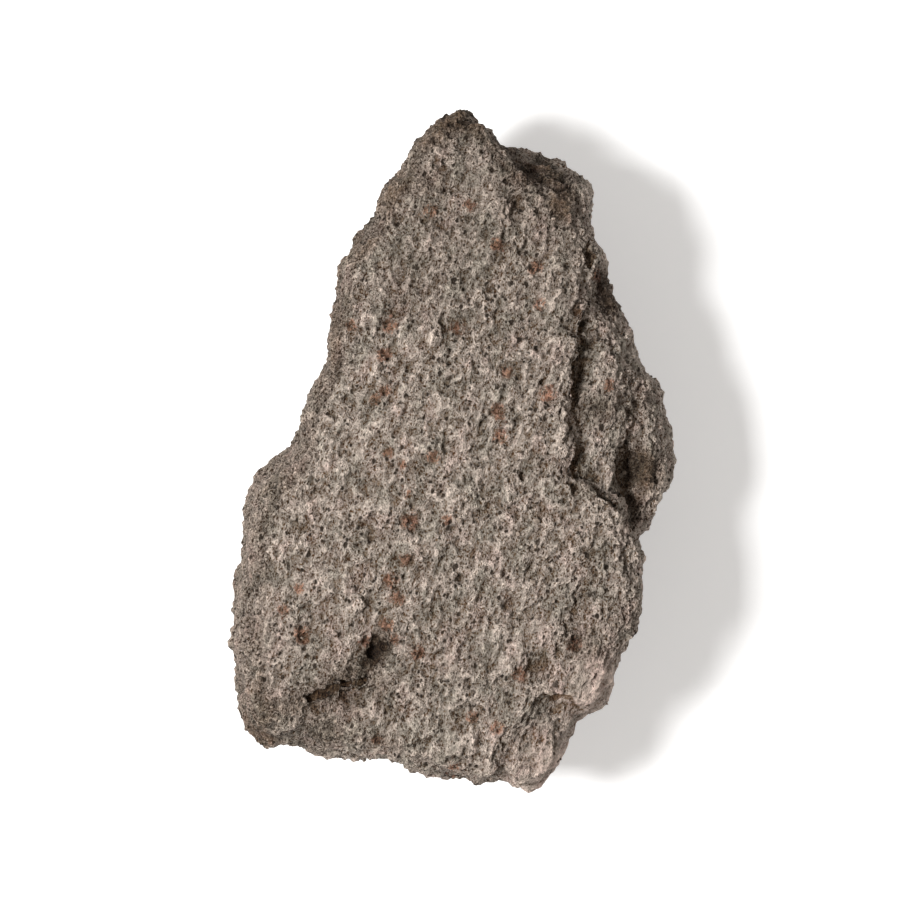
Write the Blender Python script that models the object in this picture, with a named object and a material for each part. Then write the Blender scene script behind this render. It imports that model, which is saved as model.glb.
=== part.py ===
"""Perlite: one rough hand specimen of porous volcanic glass, lying on its broad back.

It is a single natural piece, so it is a single object, perlite_stone.
  +X runs across the broad face, +Y along the specimen to its blunt tip, +Z up, out of the face.
  The origin is under the middle of the specimen, on the surface that it rests on.

The solid is made in four steps.
  1. Rings of points run from the middle of the face, over the rim, to the middle of the back.
     The face has its own relief: a main plane, broken corners, ledges, hollows and knobs.
  2. A voxel remesh evens the surface out, and lumps are raised on it along its normals.
  3. The surface is thinned to large facets, which keeps the edges and drops the flat ground.
  4. The lowest points are levelled, which gives the stone the flat that it rests on.
Lengths are in millimetres until the last step.
"""

import math

import bmesh
import bpy
import numpy as np
from mathutils import Vector, noise

MM = 0.001

# Driving dimensions
THICKNESS = 38.0  # highest ground of the face above the rest plane
TRIANGLES = 9400  # faces that the finished solid keeps

# The widest outline, seen from above, clockwise from the tip.
OUTLINE = [
    (0.5, 55.0), (2.5, 54.5), (4.5, 53.0), (6.0, 51.0), (7.5, 49.0), (10.5, 48.5), (12.5, 48.0),
    (14.5, 47.0), (17.0, 46.5), (19.0, 45.0), (20.5, 43.0), (22.5, 41.5), (22.0, 38.5),
    (22.0, 35.0), (22.5, 33.5), (24.0, 32.5), (25.0, 30.5), (24.5, 27.5), (27.0, 24.5),
    (28.0, 20.5), (29.5, 19.5), (29.5, 17.0), (32.0, 12.5), (34.0, 10.0), (35.0, 4.5),
    (36.0, 0.5), (35.5, -6.0), (34.0, -8.5), (33.0, -13.0), (30.5, -14.0), (30.5, -16.5),
    (31.0, -18.5), (30.5, -20.5), (30.0, -26.5), (29.0, -31.0), (26.5, -35.5), (25.5, -39.0),
    (24.0, -41.5), (20.0, -44.5), (19.0, -47.0), (17.5, -51.0), (15.5, -54.5), (12.5, -55.0),
    (7.5, -54.0), (4.0, -55.0), (2.0, -53.5), (-2.0, -53.5), (-6.0, -52.0), (-10.0, -50.5),
    (-14.0, -49.5), (-21.0, -50.0), (-25.0, -48.5), (-32.5, -47.5), (-34.5, -44.0),
    (-35.0, -40.0), (-35.5, -33.5), (-36.0, -27.0), (-35.0, -19.0), (-34.5, -13.0),
    (-34.0, -8.5), (-32.0, -4.5), (-28.5, -1.5), (-25.0, 3.0), (-23.5, 7.0), (-21.5, 12.0),
    (-20.0, 15.5), (-20.0, 20.0), (-18.5, 25.5), (-18.0, 29.5), (-16.5, 31.0), (-16.0, 33.5),
    (-14.0, 35.5), (-12.0, 39.0), (-12.0, 41.5), (-8.5, 45.0), (-6.5, 49.0), (-4.5, 52.0),
    (-2.0, 53.5),
]
CENTRE = np.array([-2.0, -8.0])  # every ray from here crosses the outline once

# The face is a little higher in its middle: how far it falls per mm squared along X and Y.
FACE_CROWN = np.array([0.0010, 0.0009])
# Corners that broke off the face: a point on the break's upper edge, the compass direction
# in which it falls away (0 is +X, 90 is +Y) and its slope, both in degrees.
FACE_BREAKS = [
    (0.0, 49.5, 95, 22),  # tip
    (9.0, 37.0, 52, 10),  # upper right shoulder
    (23.0, -14.0, -3, 11),  # right margin, below the ledges
    (-31.5, -12.0, 160, 22),  # left bulge
    (-17.5, 22.0, 158, 15),  # upper left margin
    (-31.5, -30.0, 185, 16),  # lower left margin
    (-26.0, -41.5, -102, 27),  # lower left corner
    (18.0, -35.0, -32, 12),  # lower right corner
]
BREAK_DEPTH = 0.8  # a break's upper edge is this far below the highest ground
# The same for the back, where each break climbs away from the rest plane.
BACK_BREAKS = [
    (0.0, 24.0, 92, 24),
    (7.0, 17.0, 28, 30),
    (13.0, -8.0, -4, 23),
    (12.0, -32.0, -62, 22),
    (-14.0, -36.0, -112, 31),
    (-17.0, -18.0, 182, 25),
    (-9.0, 8.0, 148, 33),
]
BREAK_TOP = 6.0  # the back's breaks stop this far below the rim

# The side, as facets: the compass direction of each, the level of its rim, where it is
# widest, and how far it leans in from the upright above and below the rim, in degrees.
FLANKS = [
    (0, 15, 2, 33), (27, 16, 2, 22), (58, 20, 3, 14), (74, 21, 5, 24), (92, 21, 6, 10),
    (112, 22, 3, 22), (138, 21, 3, 13), (163, 16, 6, 32), (188, 12, 5, 20), (214, 11, 7, 31),
    (236, 14, 8, 24), (262, 20, 3, 9), (290, 21, 3, 19), (312, 19, 4, 12), (336, 18, 1, 30),
]
# Steps in the side below its rim, where a slab has dropped off: the compass direction and
# half width of each in degrees, its level, and how far the side is set back below it.
UNDERCUTS = [
    (20, 26, 9.0, 2.6), (84, 20, 15.0, 3.0), (128, 24, 12.0, 3.4), (200, 18, 7.0, 2.4),
    (268, 24, 13.0, 3.0), (318, 16, 9.0, 2.2),
]
UNDERCUT_WALL = 1.2  # height of the wall over an undercut
UNDERCUT_BLEND = 4.0  # and how many degrees its two ends take
RIM_SPARE = 0.15  # what evening the surface out later takes off the rim
TOOTH_DEGREES = 15.0  # teeth of the outline narrower than this fade out of the side
TOOTH_HEIGHT = 4.0  # over this height above and below the rim
SIDE_INSET = 0.35  # how far the side keeps behind them
BACK_ROUNDNESS = 3.4  # superellipse powers: 2 is a ball, higher is boxier
FACE_ROUNDNESS = 14.0
ROUND_FROM = 0.93  # share of the radius where ground starts to turn into side

# Ledges: what they are, how far they drop, how wide their wall is, how their floor climbs
# along X and Y, and the outline of the lowered ground. Outer corners lie beyond the rim.
LEAST_DROP = 0.3
LEDGES = {
    "upper_ledge": (2.9, 0.9, 0.02, 0.0, [
        (22.5, 29.0), (21.8, 25.0), (21.5, 21.5), (19.0, 18.5), (19.8, 15.5), (18.0, 12.5),
        (18.0, 5.0), (18.6, -1.5), (19.6, -5.5), (22.0, -6.4), (26.0, -8.5), (29.0, -13.5),
        (33.0, -16.0), (44.0, -15.0), (44.0, 30.0)]),
    "lower_ledge": (1.5, 1.0, -0.22, 0.0, [
        (26.8, 18.0), (27.0, 12.5), (25.5, 6.5), (26.4, 3.0), (26.0, 0.0), (25.0, -5.0),
        (26.0, -10.0), (28.0, -13.5), (31.0, -15.5), (44.0, -15.0), (44.0, 16.0), (30.0, 17.0)]),
    "tip_side_ledge": (2.6, 1.0, -0.04, 0.04, [
        (7.4, 50.0), (8.3, 47.2), (10.3, 45.2), (11.0, 42.6), (14.5, 40.9), (17.2, 38.9),
        (21.1, 37.0), (30.0, 36.0), (30.0, 56.0), (10.0, 56.0)]),
    "corner_ledge": (1.0, 0.9, -0.20, 0.14, [
        (13.0, -38.4), (16.0, -39.2), (18.4, -39.8), (20.4, -41.4), (30.0, -46.0), (30.0, -62.0),
        (4.0, -62.0), (7.0, -48.0), (9.5, -43.5)]),
    "crack_step": (1.0, 0.7, 0.0, -0.03, [
        (-25.0, -38.2), (-22.5, -39.0), (-19.0, -38.0), (-16.5, -37.0), (-14.0, -36.5),
        (-13.0, -38.5), (-16.0, -43.0), (-23.0, -44.5)]),
}

# Hollows (negative) and knobs (positive): centre X, Y, half length, half width, the compass
# direction of the long axis in degrees, and the height.
DENTS_AND_KNOBS = [
    (12.9, 43.2, 3.4, 1.5, -38, -2.4),  # long hollow under the upper right rim
    (17.8, 40.4, 3.0, 1.2, -35, -1.3),
    (23.4, 24.2, 3.6, 1.9, -62, -5.2),  # deep pocket behind the upper ledge
    (23.5, 30.6, 2.3, 1.5, 80, 2.2),  # rounded knob on the right edge
    (21.6, 29.6, 2.6, 0.8, 84, -2.2),  # gap beside the knob
    (19.6, -2.2, 3.4, 1.3, 92, -1.2),  # foot of the upper ledge's wall
    (19.2, 8.5, 4.8, 1.2, 88, -1.1),
    (20.8, 16.5, 4.0, 1.1, 97, -0.9),
    (27.7, -5.0, 6.2, 1.9, 93, -3.4),  # trough between the lower ledge and the outer lobe
    (27.0, 15.6, 3.0, 1.0, 98, -1.8),
    (32.2, 1.5, 4.6, 2.2, 85, 1.0),  # crown of the outer lobe
    (24.5, -9.0, 3.6, 1.4, -25, 0.8),  # brow over the shoulder, below the ledges
    (-12.0, -31.0, 3.2, 1.4, 50, -1.9),  # dark pit of the lower left
    (-16.4, -35.4, 2.4, 1.0, 42, -1.5),
    (-19.6, -38.6, 3.6, 0.8, 20, -1.5),  # crack below it
    (-26.4, -39.0, 2.2, 0.8, 48, -1.1),
    (-23.4, -29.6, 1.6, 1.2, 0, -1.2),
    (-6.4, -11.4, 1.3, 1.1, 0, -1.5),
    (12.4, -34.8, 2.6, 1.4, 25, -1.4),
    (-5.0, 27.4, 4.5, 2.2, -30, -0.9),  # shallow dents of the broad face
    (1.8, 19.8, 3.0, 1.5, 0, -0.9),
    (10.8, 11.6, 3.0, 1.6, 20, -0.8),
    (11.4, -3.8, 2.6, 0.9, 85, -1.1),
    (-12.6, -12.6, 3.0, 2.4, 0, -0.8),
    (19.6, -27.6, 4.6, 1.4, 84, -1.4),
    (17.0, -40.4, 3.4, 0.9, -22, -1.2),  # crease between the two broken corners
    (10.2, 37.6, 1.8, 1.2, 70, -1.2),
    (0.0, 51.0, 3.2, 1.5, 5, -1.0),
    (15.2, 41.4, 1.5, 0.8, -45, 0.9),  # small lumps left on the broken shoulder
    (18.6, 36.4, 1.8, 0.8, 80, 0.9),
    (-3.0, -4.0, 14.0, 9.0, 70, 0.7),  # gentle crown of the broad face
]

# Lumps, as size, height and seed
RIM_LUMPS = [(24.0, 2.0, 2)]  # how the rim climbs and sinks
SIDE_LUMPS = [(19.0, 1.6, 41), (7.5, 0.8, 17)]  # how the side swells and shrinks
BACK_LUMPS = [(15.0, 1.9, 5), (7.0, 0.76, 6)]
BACK_LEVEL = -0.3  # average level of the back's middle. What is below 0 is levelled later.
LUMPS = [(11.0, 0.6, 3), (4.8, 0.6, 11), (2.6, 0.42, 29)]  # all over the evened surface

# Resolution
AROUND = 420
FACE_RINGS = 70
FLANK_RINGS = 16
BACK_RINGS = 30
VOXEL = 0.85
THIN = 0.1  # a triangle lower than this is merged into the next one


def lumps_at(points, layers):
    """Height of these layers of smooth lumps at each row of points."""
    total = np.zeros(len(points))
    for size, height, seed in layers:
        shift = Vector((seed * 17.3, seed * 5.9, seed * 11.1))
        total += height * np.array([noise.noise(Vector(point) / size + shift) for point in points])
    return total


def ease(value):
    """0 below 0, 1 above 1, with a soft start and end."""
    value = np.clip(value, 0.0, 1.0)
    return value * value * (3.0 - 2.0 * value)


def depth_inside(polygon, xy):
    """Distance of each point from the polygon's edge, above 0 inside it and below 0 outside."""
    nearest = np.full(len(xy), np.inf)
    inside = np.zeros(len(xy), bool)
    corners = np.array(polygon, float)
    for start, end in zip(corners, np.roll(corners, -1, axis=0)):
        along = end - start
        share = np.clip((xy - start) @ along / (along @ along), 0.0, 1.0)
        nearest = np.minimum(nearest, np.linalg.norm(xy - start - share[:, None] * along, axis=1))
        straddles = (start[1] > xy[:, 1]) != (end[1] > xy[:, 1])
        if along[1]:
            crossing = start[0] + along[0] * (xy[:, 1] - start[1]) / along[1]
            inside ^= straddles & (xy[:, 0] < crossing)
    return np.where(inside, nearest, -nearest)


def outline_radius(angles):
    """How far the outline is from the centre in each direction, with its teeth and without them."""
    spokes = np.array(OUTLINE) - CENTRE
    bearing = np.arctan2(spokes[:, 1], spokes[:, 0]) % math.tau
    order = np.argsort(bearing)
    reach = np.linalg.norm(spokes, axis=1)
    sharp = np.interp(angles, bearing[order], reach[order], period=math.tau) + RIM_SPARE
    window = np.hanning(round(AROUND * TOOTH_DEGREES / 360))
    padded = np.concatenate([sharp[-len(window):], sharp, sharp[:len(window)]])
    rounded = np.convolve(padded, window / window.sum(), mode="same")[len(window):-len(window)]
    return sharp, np.minimum(sharp, rounded)


def slope_from(edge, xy):
    """How far a break has fallen at each point: above 0 past its upper edge, below 0 before it."""
    x, y, compass, slope = edge
    away = np.array([math.cos(math.radians(compass)), math.sin(math.radians(compass))])
    return (xy - (x, y)) @ away * math.tan(math.radians(slope))


def face_height(xy):
    """Level of the broad face over each point, with everything that broke out of it."""
    height = THICKNESS - xy**2 @ FACE_CROWN
    for edge in FACE_BREAKS:
        height = np.minimum(height, THICKNESS - BREAK_DEPTH - slope_from(edge, xy))
    for drop, wall, slope_x, slope_y, corners in LEDGES.values():
        depth = depth_inside(corners, xy)
        floor = drop - slope_x * (xy[:, 0] - corners[0][0]) - slope_y * (xy[:, 1] - corners[0][1])
        height -= ease(depth / wall) * np.maximum(floor, LEAST_DROP)
    for x, y, half_length, half_width, compass, rise in DENTS_AND_KNOBS:
        turn = math.radians(compass)
        offset = xy - (x, y)
        along = (offset[:, 0] * math.cos(turn) + offset[:, 1] * math.sin(turn)) / half_length
        across = (offset[:, 1] * math.cos(turn) - offset[:, 0] * math.sin(turn)) / half_width
        height += rise * np.exp(-(along**2) - across**2)
    return height


def back_height(xy):
    """Level of the rough back under each point. Some of it goes below 0, and is levelled later."""
    height = np.full(len(xy), 0.0)
    for edge in BACK_BREAKS:
        height = np.maximum(height, slope_from(edge, xy))
    return height + BACK_LEVEL + lumps_at(np.column_stack([xy, 0 * xy[:, 0]]), BACK_LUMPS)


def profile(roundness, inner_rings, flank_rings):
    """(share of the radius, share of the height) for rings from the middle to near the rim."""
    for i in range(1, inner_rings + 1):
        out = ROUND_FROM * i / inner_rings
        yield out, (1.0 - out**roundness) ** (1.0 / roundness)
    top = (1.0 - ROUND_FROM**roundness) ** (1.0 / roundness)
    for i in range(1, flank_rings):
        up = top * (1.0 - i / flank_rings)
        yield (1.0 - up**roundness) ** (1.0 / roundness), up


def around(angles, column):
    """One column of FLANKS in each direction: nearly even over a facet, blended between two."""
    compass = np.radians([facet[0] for facet in FLANKS] + [360])
    values = np.array([facet[column] for facet in FLANKS] + [FLANKS[0][column]], float)
    position = np.interp(angles, compass, np.arange(len(values)))
    facet = np.minimum(position.astype(int), len(FLANKS) - 1)
    share = ease(2.0 * (position - facet) - 0.5)
    return values[facet] + share * (values[facet + 1] - values[facet])


def set_back(angles, height):
    """How far the undercuts move the side inwards at this height in each direction."""
    total = np.zeros(len(angles))
    for compass, half_width, level, inset in UNDERCUTS:
        turn = np.abs((angles - math.radians(compass) + math.pi) % math.tau - math.pi)
        within = ease((half_width - np.degrees(turn)) / UNDERCUT_BLEND)
        total += inset * within * ease((level - height) / UNDERCUT_WALL)
    return total


def ring_points():
    """Rings of points from the face's middle to the back's, with the rim between the two sets."""
    angles = np.arange(AROUND) * math.tau / AROUND
    heading = np.column_stack([np.cos(angles), np.sin(angles)])
    sharp, rounded = outline_radius(angles)
    rim_xy = CENTRE + heading * sharp[:, None]
    rim = around(angles, 1) + lumps_at(np.column_stack([rim_xy, 0 * angles]), RIM_LUMPS)

    def ring(share_out, share_up, level_at, nominal, lean):
        height = rim + (nominal - rim) * share_up
        rise = np.abs(height - rim)
        near_rim = np.exp(-((rise / TOOTH_HEIGHT) ** 2))
        swell = lumps_at(np.column_stack([rim_xy, height]), SIDE_LUMPS) - SIDE_INSET
        side = rounded + (sharp - rounded) * near_rim + swell * (1.0 - near_rim)
        side -= rise * np.tan(np.radians(lean)) + set_back(angles, height)
        xy = CENTRE + heading * (side * share_out)[:, None]
        return np.column_stack([xy, rim + (level_at(xy) - rim) * share_up])

    def back_level(xy):
        return np.minimum(back_height(xy), rim - BREAK_TOP)

    rings = [
        ring(out, up, face_height, THICKNESS, around(angles, 2))
        for out, up in profile(FACE_ROUNDNESS, FACE_RINGS, FLANK_RINGS)
    ]
    rings.append(np.column_stack([rim_xy, rim]))
    rings += [
        ring(out, up, back_level, 0.0, around(angles, 3))
        for out, up in reversed(list(profile(BACK_ROUNDNESS, BACK_RINGS, FLANK_RINGS)))
    ]
    return rings


def rough_body():
    """The closed shape of the rings, as a mesh in millimetres."""
    shape = bmesh.new()
    centre = CENTRE[None, :]
    top = shape.verts.new((*CENTRE, face_height(centre)[0]))
    rows = [[shape.verts.new(point) for point in ring] for ring in ring_points()]
    bottom = shape.verts.new((*CENTRE, back_height(centre)[0]))
    for i in range(AROUND):
        j = (i + 1) % AROUND
        shape.faces.new((top, rows[0][i], rows[0][j]))
        for inner, outer in zip(rows, rows[1:]):
            shape.faces.new((inner[i], outer[i], outer[j], inner[j]))
        shape.faces.new((rows[-1][i], bottom, rows[-1][j]))
    mesh = bpy.data.meshes.new("perlite_stone")
    shape.to_mesh(mesh)
    shape.free()
    return mesh


def through(mesh, kind, **settings):
    """The mesh after one modifier of this kind."""
    helper = bpy.data.objects.new("helper", mesh)
    bpy.context.scene.collection.objects.link(helper)
    modifier = helper.modifiers.new("step", kind)
    for name, value in settings.items():
        setattr(modifier, name, value)
    graph = bpy.context.evaluated_depsgraph_get()
    result = bpy.data.meshes.new_from_object(helper.evaluated_get(graph))
    bpy.data.objects.remove(helper)
    return result


def points_of(mesh):
    points = np.empty(len(mesh.vertices) * 3, np.float32)
    mesh.vertices.foreach_get("co", points)
    return points.reshape(-1, 3).astype(float)


def raise_lumps(mesh):
    """Moves every point along its normal by the lumps."""
    points = points_of(mesh)
    normals = np.empty(points.size, np.float32)
    mesh.vertex_normals.foreach_get("vector", normals)
    normals = normals.reshape(-1, 3)
    points += normals * lumps_at(points, LUMPS)[:, None]
    mesh.vertices.foreach_set("co", points.astype(np.float32).ravel())
    mesh.update()


def level_and_centre(mesh):
    """Levels whatever is below the rest plane, and puts the origin under the middle, in metres."""
    points = points_of(mesh)
    points[:, 2] = np.maximum(points[:, 2], 0.0)
    middle = (points.min(axis=0) + points.max(axis=0)) / 2
    points[:, :2] -= middle[:2]
    mesh.vertices.foreach_set("co", (points * MM).astype(np.float32).ravel())
    mesh.update()


def drop_thin_faces(mesh):
    """Merges every triangle that is nearly a line into its neighbours."""
    shape = bmesh.new()
    shape.from_mesh(mesh)
    bmesh.ops.dissolve_degenerate(shape, dist=THIN * MM, edges=shape.edges)
    bmesh.ops.triangulate(shape, faces=shape.faces)
    shape.to_mesh(mesh)
    shape.free()


def stone_material():
    """Dull grey-brown rock."""
    material = bpy.data.materials.new("perlite")
    material.use_nodes = True
    shader = material.node_tree.nodes["Principled BSDF"]
    shader.inputs["Base Color"].default_value = (0.30, 0.245, 0.2, 1.0)
    shader.inputs["Roughness"].default_value = 0.92
    shader.inputs["Metallic"].default_value = 0.0
    return material


def build():
    for old in list(bpy.data.objects):
        bpy.data.objects.remove(old)
    even = through(rough_body(), "REMESH", mode="VOXEL", voxel_size=VOXEL)
    raise_lumps(even)
    mesh = through(even, "DECIMATE", ratio=TRIANGLES / (2 * len(even.polygons)))
    level_and_centre(mesh)
    drop_thin_faces(mesh)
    mesh.name = "perlite_stone"
    mesh.materials.clear()
    mesh.materials.append(stone_material())
    stone = bpy.data.objects.new("perlite_stone", mesh)
    bpy.context.scene.collection.objects.link(stone)


build()
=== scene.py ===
# %% [markdown]
# # A perlite hand specimen
# Perlite is volcanic glass that cooled as a stiff froth. A broken piece is dull and rough all
# over: a tangle of pale walls round tiny dark pores, drawn out a little in the direction that
# the lava flowed, with rust-coloured grains here and there. This notebook dresses the plain
# faceted solid of one such piece. It lies on its back, with its broad face up.

# %% Load the frame
import math

import bmesh
import bpy
import numpy as np
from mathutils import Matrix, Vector, noise


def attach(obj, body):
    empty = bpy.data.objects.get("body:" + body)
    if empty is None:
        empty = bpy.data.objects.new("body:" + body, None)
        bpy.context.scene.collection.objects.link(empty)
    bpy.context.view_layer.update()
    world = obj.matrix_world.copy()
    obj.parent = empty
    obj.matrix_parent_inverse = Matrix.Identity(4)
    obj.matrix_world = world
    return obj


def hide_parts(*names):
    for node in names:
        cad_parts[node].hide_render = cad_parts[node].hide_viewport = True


MM = 0.001
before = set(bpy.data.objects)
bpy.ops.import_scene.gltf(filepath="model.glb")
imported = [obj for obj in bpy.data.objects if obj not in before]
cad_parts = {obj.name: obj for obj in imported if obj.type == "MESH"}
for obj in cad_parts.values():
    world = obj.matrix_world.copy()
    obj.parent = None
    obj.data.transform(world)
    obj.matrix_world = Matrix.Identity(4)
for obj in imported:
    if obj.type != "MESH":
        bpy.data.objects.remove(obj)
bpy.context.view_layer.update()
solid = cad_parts["perlite_stone"]


# %% [markdown]
# ## Small helpers
# Node trees are long to write out by hand, so a few short helpers do the typing. Each value
# that they are given is either a plain number, or the output of another node. Meshes need
# helpers too: one puts a thing in the scene, and one keeps the mesh that its modifiers leave.


# %% Node tree helpers
def feed(tree, socket, value):
    """A socket takes another node's output, or a plain number or colour."""
    if isinstance(value, bpy.types.NodeSocket):
        tree.links.new(value, socket)
    else:
        socket.default_value = value


def add_node(tree, kind, inputs=(), **settings):
    """One node of this kind. inputs maps its sockets to what they are fed."""
    made = tree.nodes.new(kind)
    for name, value in settings.items():
        setattr(made, name, value)
    for socket, value in dict(inputs).items():
        feed(tree, made.inputs[socket], value)
    return made


def math_node(tree, operation, *values, clamp=False):
    made = add_node(tree, "ShaderNodeMath", dict(enumerate(values)), operation=operation,
                    use_clamp=clamp)
    return made.outputs[0]


def vector_math(tree, operation, *values):
    return add_node(tree, "ShaderNodeVectorMath", dict(enumerate(values)),
                    operation=operation).outputs[0]


def scaled(tree, vector, factor):
    """vector times a factor, which is a number or a socket."""
    return add_node(tree, "ShaderNodeVectorMath", {0: vector, "Scale": factor},
                    operation="SCALE").outputs[0]


def ramp_between(tree, value, low, high, to_low=0.0, to_high=1.0):
    """value from low to high becomes to_low to to_high, with a soft start and end."""
    made = add_node(tree, "ShaderNodeMapRange",
                    {"Value": value, "From Min": low, "From Max": high,
                     "To Min": to_low, "To Max": to_high}, interpolation_type="SMOOTHSTEP")
    return made.outputs["Result"]


def total(tree, *terms):
    """Sum of value times weight over (value, weight) pairs."""
    result = None
    for value, weight in terms:
        term = math_node(tree, "MULTIPLY", value, weight)
        result = term if result is None else math_node(tree, "ADD", result, term)
    return result


def tree_socket(tree, name, kind, default=None, out=False):
    made = tree.interface.new_socket(name, in_out="OUTPUT" if out else "INPUT",
                                     socket_type="NodeSocket" + kind)
    if default is not None:
        made.default_value = default
    return made


# %% Mesh helpers
def placed(name, data):
    """A new object in the scene, at the origin."""
    made = bpy.data.objects.new(name, data)
    bpy.context.scene.collection.objects.link(made)
    return made


def frozen(helper):
    """The mesh that the modifiers of a helper leave. The helper itself goes."""
    graph = bpy.context.evaluated_depsgraph_get()
    mesh = bpy.data.meshes.new_from_object(helper.evaluated_get(graph))
    bpy.data.objects.remove(helper)
    return mesh


# %% [markdown]
# ## An even skin over the facets
# The solid has about nine thousand facets of 2 mm, which is right for its weight and its
# contacts and far too coarse for its looks. A subdivision would keep the facets' edges, so the
# skin is rebuilt from small voxels instead, and then smoothed until the facets are gone and
# the ledges are still there.

# %% Skin from voxels
VOXEL = 0.36 * MM
SMOOTH_STEPS = 9
SAME_POINT = 0.001 * MM


def merged_copy(mesh):
    """The solid's triangles are loose, so a copy has its doubles merged first."""
    shape = bmesh.new()
    shape.from_mesh(mesh)
    bmesh.ops.remove_doubles(shape, verts=shape.verts, dist=SAME_POINT)
    copy = bpy.data.meshes.new("merged_solid")
    shape.to_mesh(copy)
    shape.free()
    return copy


def skinned(mesh):
    helper = placed("skin", mesh)
    remesh = helper.modifiers.new("voxels", "REMESH")
    remesh.mode, remesh.voxel_size = "VOXEL", VOXEL
    smooth = helper.modifiers.new("smooth", "SMOOTH")
    smooth.factor, smooth.iterations = 0.5, SMOOTH_STEPS
    return frozen(helper)


skin = skinned(merged_copy(solid.data))
print("skin:", len(skin.vertices), "points")

# %% [markdown]
# ## Cracks and deep pits
# A few marks are in one place only: the cracks at the lower left, the dark pits, and the gap
# along the ledge. Each is a line or a dot on the broad face that presses the skin down. Such
# marks are given one by one, as short lists of points in millimetres. Fills do the opposite: a
# plain solid can only have wide dents where the stone has narrow cracks, so the skin is lifted
# there first.

# %% Lists of marks
# All in millimetres, seen from above.
CRACKS = [  # points along the crack, half width, depth
    ([(-22.6, -39.2), (-20.6, -38.6), (-18.8, -37.6), (-16.6, -36.9), (-14.0, -36.4)], 0.38, 1.4),
    ([(-17.0, -37.0), (-17.2, -39.6)], 0.32, 0.6), ([(-16.4, -42.4), (-15.8, -43.0)], 0.3, 0.5),
    ([(-27.6, -40.4), (-26.4, -39.2), (-25.2, -38.0)], 0.3, 0.3),
    ([(-22.4, -39.4), (-21.6, -41.6)], 0.25, 0.5),
    ([(13.8, -38.8), (16.0, -39.8), (18.4, -39.9), (20.4, -41.6)], 0.26, 0.5),
    ([(-14.0, -33.6), (-12.8, -32.4), (-11.6, -31.2), (-10.6, -31.4)], 0.5, 0.7),
    ([(-12.6, -32.4), (-12.0, -29.8)], 0.4, 0.5), ([(-12.6, -34.0), (-12.4, -32.4)], 0.4, 0.4),
    ([(19.2, -24.0), (18.6, -28.0), (19.4, -31.5)], 0.3, 0.4),
    ([(5.2, 24.4), (6.4, 26.0)], 0.25, 0.4),
    ([(20.6, 33.4), (21.4, 31.0), (22.0, 28.8)], 0.4, 0.8),
    ([(-2.8, 45.8), (-2.4, 44.6), (-1.3, 43.7)], 0.22, 0.5),
    ([(-4.6, 35.4), (-3.8, 37.2)], 0.22, 0.5),
    ([(19.8, 22.0), (19.7, 17.0), (19.4, 13.5), (18.7, 11.5), (18.4, 9.0), (18.8, 6.0), (18.7, 2.0),
      (19.2, -6.0)], 0.9, 0.6),
]
FILLS = [  # dents of the solid that come out too wide: line, half width, height
    ([(-11.4, -30.2), (-9.6, -28.4)], 1.5, 1.4), ([(-13.4, -32.6), (-12.4, -31.6)], 1.2, 0.5),
    ([(-17.8, -36.6), (-15.0, -34.2)], 0.9, 0.7), ([(-27.6, -40.4), (-25.2, -38.0)], 0.8, 0.4),
    ([(-23.0, -39.6), (-19.6, -38.4), (-14.4, -36.4)], 1.2, 1.4),
    ([(15.2, -38.6), (17.2, -39.0)], 1.3, 0.9), ([(23.8, -6.2), (25.6, -7.8)], 1.2, 1.2),
]
PITS = [  # x, y, radius, depth
    (-6.6, -11.2, 1.0, 0.5), (-23.4, -29.6, 0.8, 0.3), (13.0, -34.9, 1.2, 0.3),
    (-14.8, -34.6, 0.8, 0.3), (17.0, 13.0, 0.7, 0.5), (11.2, -4.2, 0.7, 0.5),
    (12.8, -1.0, 0.7, 0.5), (8.6, 41.5, 0.8, 0.4), (10.0, 39.4, 0.8, 0.4),
]
print("marks:", len(CRACKS), "cracks,", len(FILLS), "fills,", len(PITS), "pits")

# %% [markdown]
# ## Working on all points at once
# Numpy reads a mesh's points and normals as tables, changes the whole table in one go, and
# writes it back. Averaging each point with its neighbours many times over is a blur that
# follows the surface, so it finds the large shape under a rough skin.

# %% Points, normals and blurs
OWN_SHARE = 0.3  # how much of its own value a point keeps in one step of a blur


def points_of(mesh):
    points = np.empty(len(mesh.vertices) * 3, np.float32)
    mesh.vertices.foreach_get("co", points)
    return points.reshape(-1, 3).astype(float)


def normals_of(mesh):
    normals = np.empty(len(mesh.vertices) * 3, np.float32)
    mesh.vertex_normals.foreach_get("vector", normals)
    return normals.reshape(-1, 3).astype(float)


def blurred(mesh, values, steps):
    """values averaged with those along the edges, this many times."""
    ends = np.empty(len(mesh.edges) * 2, np.int32)
    mesh.edges.foreach_get("vertices", ends)
    first, second = ends.reshape(-1, 2).T
    count = np.bincount(ends, minlength=len(values)).astype(float)
    values = values.astype(float).copy()
    for _ in range(steps):
        sums = np.empty_like(values)
        for axis in range(values.shape[1]):
            column = values[:, axis]
            sums[:, axis] = (np.bincount(first, column[second], len(values))
                             + np.bincount(second, column[first], len(values)))
        values = OWN_SHARE * values + (1.0 - OWN_SHARE) * sums / count[:, None]
    return values


def keep(mesh, name, values):
    layer = mesh.attributes.new(name, "FLOAT", "POINT")
    layer.data.foreach_set("value", np.asarray(values, np.float32))


def smooth_step(value, low, high):
    share = np.clip((value - low) / (high - low), 0.0, 1.0)
    return share * share * (3.0 - 2.0 * share)


# %% Press the marks in
FACE_UP = 0.3  # the broad face looks up at least this much
FACE_ABOVE = 20 * MM  # and lies at least this high
TORN_BY, TORN_SIZE = 0.55, 1.5  # mm


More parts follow.
